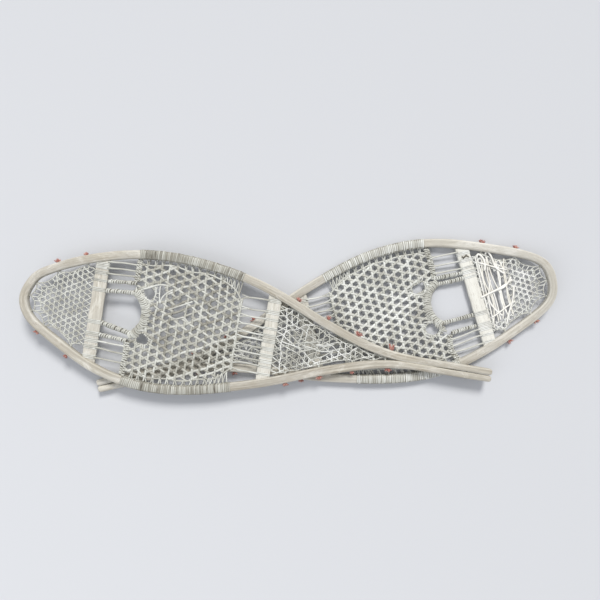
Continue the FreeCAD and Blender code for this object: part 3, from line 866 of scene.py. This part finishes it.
    def selvedges(self):
        """The thick cords at the two ends of the centre panel."""
        lacing = Lacing(self, 7)
        x, half = self.rear_edge, self.corner_half + 1
        bowed = [(x - 0.5 - 2 * part ** 2, half * part) for part in (-1, -0.5, 0, 0.5, 1)]
        twist(lacing, through(bowed), 3.4, 15)
        lacing.build("rear_selvedge")
        lacing = Lacing(self, 8)
        for side in SIDES:
            start = self.served_y(side, 1) * side + 4
            bow = self.front_bow[side]
            for number, back in enumerate((0, 6.5)):
                x = self.front_edge + 5 - back
                end = self.half_width(x, 1, side)
                middle = (x, side * (start + end) / 2, 0.6)
                cord = through([(x + bow * 0.5, side * start, 0), middle, (x + bow, side * end, 0)], 3)
                serve(
                    lacing, cord, 2.0, 1.5, 5.6, 2.4, steps=8, lean=1.8, uneven=0.34, first=number,
                    full=0.42, bulge=1.0,
                )
                # A dark core under the turns, painting the shade between them.
                lacing.tube(cord, 2.4, 1.8, tone=DEEP_SHADE_TONE)
        lacing.build("front_selvedge")

    def served_y(self, side, number):
        """Distance off centre of a bound cord at the panel: number 0 is the inner one, 1 the outer."""
        return self.served[side][number][0][1]

    def toe_cord(self):
        """The thick bound cord behind the toe hole."""
        lacing = Lacing(self, 9)
        cx, cy = self.arc_centre()

        def around(angle, radius):
            return cx + radius * np.cos(angle), cy + radius * np.sin(angle)

        start, end = (math.asin((self.served_y(side, 0) - cy) / TOE_ARC_RADIUS) for side in (-1, 1))
        margin = math.radians(4)
        angles = np.linspace(math.pi - start + margin, math.pi - end - margin, 40)
        x, y = around(angles, TOE_ARC_RADIUS + 2.2)
        path = np.column_stack([x - 1, y, np.zeros(40)])
        serve(
            lacing, path, 7.8, 4.4, 4.8, 2.4, steps=12, lean=4.6, uneven=0.3, full=0.45, bulge=0.8,
            tones=(0, 0.8),
        )
        # A dark core under the turns, painting the shade between them.
        lacing.tube(path, 8.6, 5.0, profile=OVAL_6, tone=GAP_SHADE_TONE)
        for angle in np.linspace(angles[0], angles[-1], 25)[1:-1]:
            angle += lacing.uniform(-0.03, 0.03)
            lean = lacing.uniform(0.02, 0.12)
            far = lacing.uniform(14, 20)
            points = [
                (*around(angle + turn, TOE_ARC_RADIUS + beyond), h)
                for beyond, turn, h in ((5, 0, 4.6), (11, lean / 2, 3.2), (far, lean, 0.6))
            ]
            lacing.strand(points, 3, 1.9, 1.3, tone=lacing.uniform(0.2, 0.9))
        lacing.build("toe_cord")

    def served_cords(self):
        """Thongs bound with rawhide, beside the toe hole."""
        lacing = Lacing(self, 10)
        for side in SIDES:
            for start, end, radius in self.served[side]:
                middle = (start[0] + end[0]) / 2, (start[1] + end[1]) / 2 + lacing.uniform(-1.2, 1.2)
                path = through([(*start, 0), (*middle, 0.5), (*end, 3.0)])
                serve(
                    lacing, path, radius - 2.6, radius - 2.8, 5.6, 2.8, lean=2.4, uneven=0.34, full=0.41,
                    bulge=1.3, tones=(0.2, 1.15),
                )
                # A dark core under the turns, painting the shade between them.
                lacing.tube(path, radius - 1.9, radius - 2.2, tone=DEEP_SHADE_TONE)
        lacing.build("toe_hole_cords")

    def thongs(self):
        """Single thongs from the centre panel to the crossbars, forked where they meet the panel."""
        top = BAR_HEIGHT / 2 + 1.2
        lacing = Lacing(self, 11)
        edge = self.front_edge
        for y_net, y_bar in self.front_thongs:
            bar_x = self.bar_point(self.front_bar, -BAR_WIDTH / 2, y_bar, top)[0]
            sag = lacing.uniform(-1.2, 1.2)
            path = [
                (edge + 4, y_net, 1.0),
                (edge + 14, y_net * 0.9 + y_bar * 0.1, 0.8),
                ((edge + bar_x) / 2 + 6, (y_net + y_bar) / 2 + sag, 2.0),
                (bar_x - 5, y_bar, top - 1.5),
                (bar_x + 4, y_bar, top + 0.4),
            ]
            lacing.strand(path, 5, 2.5, 1.5, profile=OVAL_6)
            joint = (edge + 18, y_net * 0.85 + y_bar * 0.15, 0.6)
            lacing.strand([(edge + 3, y_net + 4.2, -0.5), (edge + 12, y_net + 1.2, 0.0), joint], 5, 1.9, 1.2)
        lacing.build("front_thongs")
        lacing = Lacing(self, 12)
        edge = self.rear_edge
        for y_net, y_bar in self.rear_thongs:
            bar_x = self.bar_point(self.rear_bar, BAR_WIDTH / 2, y_bar, top)[0]
            fork_x = edge - lacing.uniform(10, 18)
            y_fork = y_bar + (y_net - y_bar) * (fork_x - bar_x) / (edge - bar_x)
            path = [
                (bar_x - 4, y_bar, top + 0.4),
                (bar_x + 5, y_bar, top - 1.5),
                ((bar_x + fork_x) / 2, (y_bar + y_fork) / 2 + lacing.uniform(-1, 1), 1.6),
                (fork_x, y_fork, 0.6),
            ]
            lacing.strand(path, 5, 2.4, 1.5, profile=OVAL_6)
            for way in (-1, 1):
                end = (edge, y_net + lacing.uniform(3.5, 6.5) * way, 0.2)
                fork = [(fork_x - 6, y_fork + 0.6 * way, 0.8), (fork_x + 2, y_fork + 1.6 * way, 0.6), end]
                lacing.strand(fork, 4, 1.8, 1.2)
        lacing.build("rear_thongs")

    def bands(self):
        """Rawhide turns round the crossbars, a few where each thong crosses."""
        front = [y_bar for y_net, y_bar in self.front_thongs]
        front += [end[1] for side in SIDES for start, end, radius in self.served[side]]
        rear = [y_bar for y_net, y_bar in self.rear_thongs]
        rows = ("front", self.front_bar, front), ("rear", self.rear_bar, rear)
        pitch = 3.7
        for number, (word, bar, places) in enumerate(rows, 13):
            lacing = Lacing(self, number)
            for place in places:
                turns = 3 if lacing.random.random() < 0.6 else 2
                half = turns * pitch / 2
                low, high = (side * self.half_width(bar[0], 2 + half, side) for side in (-1, 1))
                along = min(high, max(low, place)) + half * np.linspace(-1, 1, 6)
                serve(
                    lacing, self.bar_point(bar, 0.0, along, 0.0), BAR_WIDTH / 2, BAR_HEIGHT / 2, pitch, 1.1,
                    square=7, steps=12, lean=0.9, uneven=0.2, full=0.45, tones=self.band_tones[word],
                )
            lacing.build(word + "_bar_bands")

    def scallops(self, anchors, sag):
        """A curve through the anchors that sags towards the middle of the panel between them."""
        anchors = np.array(anchors, float)
        middle = anchors.mean(axis=0)
        part = np.linspace(0, 1, 9)[:-1, None]
        edge = []
        for start, end in zip(anchors[:-1], anchors[1:]):
            inward = unit(middle - (start + end) / 2)
            bow = 4 * part * (1 - part) * sag * np.linalg.norm(end - start)
            edge.append(start + (end - start) * part + inward * bow)
        return np.concatenate(edge + [anchors[-1:]])

    def end_net(self, end, number, bar, anchors, sag, grid, drift, gaps, fine, tones, extra=()):
        """A toe or tail panel and the scalloped cord at its edge. grid is its origin, pitch and spacing."""
        edge = self.scallops(anchors, sag)
        lacing = Lacing(self, number)
        region = self.woven_part(edge)
        hexagon_net(
            lacing, region, *grid, fine, 1.0, 0.75, drift, gaps, OVAL_4, tones, self.slanting_part(edge, bar)
        )
        for line in extra:
            lacing.tube(drift.move(through(line, 5)), 1.5, 1.0, tone=lacing.uniform(0.6, 1.3))
        lacing.build(end + "_net")
        lacing = Lacing(self, number + 1)
        twist(lacing, drift.move(np.column_stack([edge, np.zeros(len(edge))])), fine * 0.95, 11)
        inner = np.column_stack([region, np.full(len(region), 0.5)])[region[:, 0] > TOE_ROW_START - 12]
        if len(inner):
            lacing.tube(drift.move(resample(inner, 6)), fine * 0.8, 1.0)
        if bar is self.front_bar and self.mending:
            self.bar_loops(lacing, region, fine)
        self.toe_rows(lacing, edge, drift, fine)
        for x, y in anchors[1:-1]:
            side = 1 if y > 0 else -1
            outer = (x, side * min(self.half_width(x, -3, side), abs(y) + 12))
            if x > 1165:
                outer = (x + 8, y * 1.08)
            for way in (-1, 1):
                lacing.strand([(x + 1.5 * way, y - side, 0.8 * way), (*outer, 1.2 * way)], 4, 1.6, 1.1)
        lacing.build(end + "_edge_cord")

    def woven_part(self, edge):
        """The edge moved inwards: a little beside the crossbar, where loops take over, and at the toe."""
        (x0, y0), (x1, y1) = edge[0], edge[-1]
        away = 1 if edge[:, 0].mean() > x0 else -1
        start = x0 + (x1 - x0) * (edge[:, 1] - y0) / (y1 - y0)
        moved = edge.copy()
        moved[:, 0] = start + away * np.maximum(away * (edge[:, 0] - start), BAR_ROW)
        return moved + self.toe_step(edge)

    def slanting_part(self, edge, bar):
        """The edge carried on to the crossbar, which the slanting strands reach."""
        toward = 1 if bar[0] > edge[0][0] else -1
        ends = self.bar_point(bar, -toward * (BAR_WIDTH / 2 - 2), edge[(0, -1), 1], 0.0)[:, :2]
        return np.concatenate([ends[:1], edge + self.toe_step(edge), ends[1:]])

    def toe_step(self, points):
        """How far the weave stands back from the edge cord near the toe."""
        share = np.clip((points[:, 0] - TOE_ROW_START) / 35, 0, 1)
        return unit(np.array([TOE_ROW_START - 20.0, 0.0]) - points) * (TOE_ROW * share)[:, None]

    def toe_rows(self, lacing, edge, drift, fine):
        """The row of long holes at the toe: short strands from the weave to the edge cord."""
        line = resample(edge, 13.5)
        line = line[line[:, 0] > TOE_ROW_START + 8]
        for start, step in zip(line, self.toe_step(line)):
            slant = np.array([0, lacing.uniform(-2.5, 2.5)])
            ends = through([(*start, 0.6), (*(start + step * 1.15 + slant), 0.9)])
            lacing.tube(drift.move(ends), fine * 0.85, 1.0, tone=lacing.uniform(0.4, 1.2))

    def bar_loops(self, lacing, region, fine):
        """A zigzag of lacing that holds the toe panel to the front crossbar."""
        (x0, y0), (x1, y1) = region[0], region[-1]
        steps = 2 * int(abs(y1 - y0) / 24)
        zigzag = []
        for number in range(steps + 1):
            part = (number + lacing.uniform(-0.3, 0.3) * (0 < number < steps)) / steps
            x, y, h = x0 + (x1 - x0) * part, y0 + (y1 - y0) * part, 0.8
            if number % 2:
                x, y, h = self.bar_point(self.front_bar, BAR_WIDTH / 2 - 1.5, y, BAR_HEIGHT / 2 - 0.8)
            else:
                x += lacing.uniform(0, 4)
            zigzag.append((x, y, h))
        for ends in zip(zigzag, zigzag[1:]):
            lacing.strand(ends, 4, fine * 0.8, 1.0, tone=lacing.uniform(0.4, 1.2))

    def toe_net(self):
        grid = (self.toe_anchors[0][0], 2.0), 11.7, 14.6
        drift = Drift(self.seed + 21, 0.9, 60)
        anchors, gaps, tones = self.toe_anchors, self.toe_gaps, self.toe_tones
        self.end_net("toe", 15, self.front_bar, anchors, 0.16, grid, drift, gaps, 1.85, tones)

    def mend(self):
        """Loose thongs across the torn half of the toe panel, and the knot at the crossbar's end."""
        if not self.mending:
            return
        lacing = Lacing(self, 17)
        for number in range(10):
            x = MEND_START + number * MEND_STEP
            reach = MEND_HALF - MEND_TAPER * (x - MEND_START)
            points = [
                (x + lacing.uniform(-7, 7), reach * part + lacing.uniform(-6, 6), h)
                for part, h in ((1, 0.4), (0.4, 2.2), (-0.2, 2.8), (-0.88, 0.5))
            ]
            lacing.strand(points, 4, 1.9, 1.3, profile=OVAL_6, tone=lacing.uniform(0.6, 1.3))
        for points, size in self.mending:
            lacing.strand(points, 4, size * 1.25, size * 0.75, profile=OVAL_6, tone=1.2)
        for points in self.knot:
            lacing.strand(points, 3, 1.5, 1.1, tone=-1.0)
        lacing.build("toe_mending", "pale_rawhide")

    def tail_net(self):
        """The worn panel behind the rear crossbar, with gaps and slack strands."""
        source = random.Random(self.seed + 32)
        gaps = []
        for _ in range(7):
            x = source.uniform(380, 525)
            y = source.uniform(-0.8, 0.8) * self.half_width(x, 12, 1)
            hole = (x, y, source.uniform(8, 17), source.uniform(6, 10), source.uniform(-40, 40))
            gaps.append((hole, source.sample(EVERY, 1)))
        slack = []
        for _ in range(8):
            x = source.uniform(400, 515)
            y = source.uniform(-0.75, 0.75) * self.half_width(x, 16, 1)
            half = source.uniform(30, 70) / 2
            lean = source.choice((0.45, -0.45, 0.2, -0.2))
            line = []
            for way, h in ((-1, 0.8), (0, 1.6), (1, 0.6)):
                limit = 0.9 * self.half_width(x + way * half, 16, 1)
                end_y = max(-limit, min(limit, y + way * lean * half))
                line.append((min(x + way * half, self.rear_bar[0] - 20), end_y, h))
            slack.append(line)
        grid = (self.rear_bar[0] - 22, 4.0), 14.6, 16.6
        drift = Drift(self.seed + 31, 2.4, 75)
        anchors = self.tail_anchors()
        # The tail strands' wide tone range gives random dark strands among white ones; the dark ones paint
        # the shade under the panel.
        self.end_net("tail", 18, self.rear_bar, anchors, 0.07, grid, drift, gaps, 1.6, (0.2, 1.6), slack)

    def tail_anchors(self):
        """Where the tail panel's edge cord meets the rails and the rear crossbar."""
        bar = self.rear_bar[0] - BAR_WIDTH / 2 - 4
        left, right = (
            self.stick.inner_edge([bar], 7, side) + self.stick.inner_edge(TAIL_LACE_HOLES[:0:-1], 3.5, side)
            for side in SIDES
        )
        return right + [(300, -4.8), (271, -1.7), (271, 1.7), (300, 4.8)] + left[::-1]

    # ---- small pieces

    def tufts(self):
        """Tufts of wool tied through the rail at each end panel's anchors."""
        lacing = Lacing(self, 20)
        for side, toe_holes in self.toe_lace_holes.items():
            for x in TAIL_LACE_HOLES + toe_holes:
                point, outward, wide = self.stick.rail_at(x, side)
                along = np.array([outward[1], -outward[0]])
                root = point + outward * (wide / 2 - 0.6)
                full = lacing.uniform(0.85, 1.2) * self.tuft_sizes.get((x, side), 1)
                for _ in range(TUFT_YARNS):
                    spread = lacing.random.gauss(0, 0.75)
                    rise = lacing.uniform(-0.55, 0.8)
                    long = lacing.uniform(5.5, 10.5) * full
                    start = root + along * lacing.uniform(-2.2, 2.2)
                    end = start + unit(outward + along * spread) * long
                    middle = (start + end) / 2 + along * lacing.uniform(-1.5, 1.5)
                    h = lacing.uniform(-1.5, 2.5)
                    heights = h, h + rise * long * 0.45 + 1.2, h + rise * long * 0.6 - 0.6
                    path = np.column_stack([(start, middle, end), heights])
                    lacing.strand(path, 2.6, 1.15, 1.0, profile=OVAL_3)
        lacing.build("wool_tufts", "red_wool")

    def rivets(self):
        """Two rivets from side to side through both tails, with domed heads."""
        lacing = Lacing(self, 21)
        rises = np.array([RIVET_PROUD, RIVET_PROUD * 0.7, RIVET_PROUD * 0.1, -0.4, -0.5])
        radii = [1.2, RIVET_HEAD * 0.75, RIVET_HEAD, RIVET_HEAD, 2.0]
        size = np.array(radii + radii[::-1])
        for x in TAIL_RIVETS:
            point, outward, wide = self.stick.rail_at(x, 1)
            reach = point[1] + wide / 2 + rises
            line = np.column_stack([np.full(10, float(x)), [*-reach, *reach[::-1]], np.zeros(10)])
            lacing.tube(line, size, size, profile=regular(14, 0))
        lacing.build("tail_rivets", "rivet_metal")


# ---------------------------------------------------------------- the pair

UPPER = dict(
    front_bar=(1019, 0.4),
    rear_bar=(573, 0.0),
    front_edge=926,
    rear_edge=658,
    corner_half=91,
    net_phase=5.0,
    toe_shift=-9,
    wound={1: (649, 930), -1: (658, 930)},
    front_bow={1: 2, -1: 0},
    side_holes=[(892, 51, 17, 14.5, 0), (893, -66, 17, 18, 0)],
    slits=[
        ((812, -38, 14, 26, 0), ("cross", "down")),
        ((784, -33, 9, 15, 0), ("down",)),
        ((866, -72, 16, 24, 0), EVERY),
    ],
    loose_strands=[
        ([(867, -94, 0.6), (866, -71, 1.6), (862, -46, 0.8)], 2.1),
        ([(880, -92, 0.6), (875, -68, 2.2), (880, -48, 0.8)], 1.9),
        ([(846, -94, 0.4), (870, -93, 1.8), (888, -85, 2.2), (908, -76, 1.2)], 2.5),
        ([(834, -86, 0.4), (848, -75, 1.8), (858, -61, 2.2), (861, -46, 0.8)], 2.1),
        ([(878, -47, 0.8), (894, -51, 1.6), (908, -62, 1.2)], 2.3),
        ([(780, -64, 0.8), (803, -52, 1.9), (838, -34, 0.8)], 2.3),
        ([(780, -8, 0.8), (800, -20, 1.9), (812, -14, 1.2), (830, -18, 0.6)], 1.8),
    ],
    # These tone ranges sit lower than the lower shoe's, as do the wood and front bar tones below, so this
    # shoe comes out darker: painted shade.
    winding_tones=(-0.62, 0.58),
    net_tones=(-0.35, 0.72),
    toe_tones=(0.25, 1.1),
    band_tones={"front": (0.45, 1.0), "rear": (0.5, 1.0)},
    served={
        1: [((914, 43), (1000, 25), 6.2), ((930, 61), (1000, 56), 5.3)],
        -1: [((917, -63), (1000, -57), 5.8), ((928, -87), (1000, -81), 5.2)],
    },
    front_thongs=[(-134, -131), (-118, -115), (-104, -101), (76, 73), (96, 90), (119, 116)],
    rear_thongs=[
        (-97, -99), (-69, -70), (-51, -51), (-31, -28), (-13, -9), (3, 4), (20, 24), (38, 41), (54, 56),
        (68, 69), (89, 89),
    ],
    toe_anchors=[
        (1043, 88), (1068, 94), (1141, 56), (1171, 22), (1184, -15), (1175, -48), (1127, -87), (1058, -116),
        (1043, -108),
    ],
    wood_tone=0.5,
    bar_tone={"front": 0.66, "rear": 0.8},
    toe_lace_holes={1: (1070, 1147), -1: (1061, 1126)},
    tuft_sizes={(262, -1): 1.45, (354, -1): 1.2, (1126, -1): 1.2},
)

LOWER = dict(
    front_bar=(1003, 3.2),
    rear_bar=(561, 0.0),
    front_edge=908,
    rear_edge=640,
    corner_half=95,
    net_phase=0.0,
    toe_shift=1,
    wound={1: (630, 905), -1: (652, 925)},
    front_bow={1: -4, -1: 12},
    side_holes=[(864, 55.5, 21, 14, 20), (875, -56, 20, 16.5, -20)],
    loose_strands=[
        ([(838, 52, 0.6), (852, 42, 1.6), (872, 38, 1.2), (890, 48, 0.8)], 2.2),
        ([(856, -34, 0.8), (880, -38, 1.6), (897, -48, 0.8)], 2.2),
        ([(848, -46, 0.8), (852, -66, 1.6), (866, -78, 0.8)], 2.0),
    ],
    # These tone ranges sit higher than the upper shoe's, as do the wood and front bar tones below, so this
    # shoe comes out paler: painted light.
    winding_tones=(0.05, 1.0),
    winding_group=4,
    net_tones=(0.25, 1.25),
    toe_tones=(0.8, 1.7),
    band_tones={"front": (1.0, 1.6), "rear": (0.5, 1.0)},
    served={
        1: [((906, 55), (982, 54), 5.6), ((908, 70), (982, 68), 5.2)],
        -1: [((906, -47), (985, -44), 5.4), ((920, -77), (987, -73), 5.0)],
    },
    front_thongs=[(124, 123), (101, 99), (82, 80), (-94, -84), (-111, -100), (-127, -121)],
    rear_thongs=[
        (-93, -92), (-73, -74), (-57, -55), (-36, -37), (-19, -18), (1, 0), (18, 19), (38, 37), (54, 55),
        (75, 73), (92, 93),
    ],
    toe_anchors=[
        (1028, -97), (1056, -101), (1129, -73), (1173, -39), (1186, 0), (1177, 39), (1124, 76), (1043, 106),
        (1018, 104),
    ],
    wood_tone=0.63,
    bar_tone={"front": 1.05, "rear": 0.8},
    toe_lace_holes={1: (1047, 1124), -1: (1057, 1132)},
    toe_gaps=[((1050, -8, 38, 68, 4), EVERY)],
    knot=[
        [(990, 110, 6.2), (996, 106, 7.6), (1001, 109, 6.4), (1008, 104, 5.8)],
        [(993, 103, 6.0), (997, 108, 7.8), (1003, 111, 6.2)],
    ],
    mending=[
        ([(1014, -5, 4.2), (1040, 1, 4.6), (1068, 8, 4.6), (1103, 22, 1.6)], 2.5),
        ([(1058, 4, 4.4), (1080, 9, 4.8), (1102, 30, 1.6)], 2.1),
        ([(1048, 34, 3.4), (1040, 12, 4.2), (1034, -10, 3.8), (1042, -40, 2.6), (1060, -64, 1.4)], 1.9),
        ([(1028, 96, 0.6), (1033, 106, 2.6), (1041, 98, 2.8), (1040, 60, 3.2)], 2.3),
        ([(1052, 100, 0.6), (1056, 108, 2.6), (1063, 98, 2.8), (1068, 66, 3.2), (1090, 40, 1.8)], 2.1),
        ([(1030, 84, 2.0), (1048, 74, 3.4), (1070, 62, 3.2), (1096, 50, 1.2)], 1.8),
        ([(1030, -62, 2.0), (1050, -54, 3.4), (1072, -44, 3.2), (1098, -34, 1.2)], 1.8),
        ([(1064, -88, 0.8), (1076, -60, 3.0), (1092, -30, 3.4), (1104, 4, 1.2)], 2.0),
    ],
)

for shoe in (Shoe("lower", 13.3, -497.3, -181.1, LOWER), Shoe("upper", 170.8, 510.2, -151.1, UPPER)):
    shoe.build()

# ---------------------------------------------------------------- floor, lights and camera


def stand(name, data):
    thing = bpy.data.objects.new(name, data)
    bpy.context.scene.collection.objects.link(thing)
    return thing


FLOOR_HALF = 24.0
AIM = Vector((0, 0, 0.02))
CAMERA_PLACE = (0.0243, 0.0413, 1.5095)
CAMERA_LENS = 34.74

floor_mesh = bpy.data.meshes.new("floor")
corners = [(x * FLOOR_HALF, y * FLOOR_HALF, 0) for x, y in ((-1, -1), (1, -1), (1, 1), (-1, 1))]
floor_mesh.from_pydata(corners, [], [(0, 1, 2, 3)])
floor = stand("floor", floor_mesh)
floor.location.z = cad_bounds[0].z - 0.0004
paint = Nodes("pale_floor")
for name, value in (("Base Color", (0.58, 0.59, 0.61)), ("Roughness", 0.9), ("Specular IOR Level", 0.1)):
    paint.feed(paint.surface.inputs[name], value)
floor_mesh.materials.append(paint.material)


def lamp(name, kind, place, **settings):
    """A soft light that faces the pair."""
    data = bpy.data.lights.new(name, kind)
    for word, value in settings.items():
        setattr(data, word, value)
    light = stand(name, data)
    light.location = place
    light.rotation_euler = (AIM - Vector(place)).to_track_quat("-Z", "Y").to_euler()


lamp("key", "SUN", (0.95, 3.15, 3.7), energy=2.65, color=(1.0, 0.985, 0.96), angle=math.radians(19))
lamp("fill", "AREA", (-3.0, -2.2, 3.2), energy=52, color=(0.95, 0.97, 1.0), size=3.6)
world = bpy.data.worlds.new("studio")
world.use_nodes = True
background = world.node_tree.nodes["Background"]
background.inputs["Color"].default_value = (0.93, 0.95, 1.0, 1)
background.inputs["Strength"].default_value = 0.58
bpy.context.scene.world = world
bpy.context.scene.view_settings.view_transform = "Standard"

camera_data = bpy.data.cameras.new("camera")
camera_data.lens = CAMERA_LENS
camera_data.sensor_width = 36
camera = stand("camera", camera_data)
camera.location = CAMERA_PLACE
bpy.context.scene.camera = camera
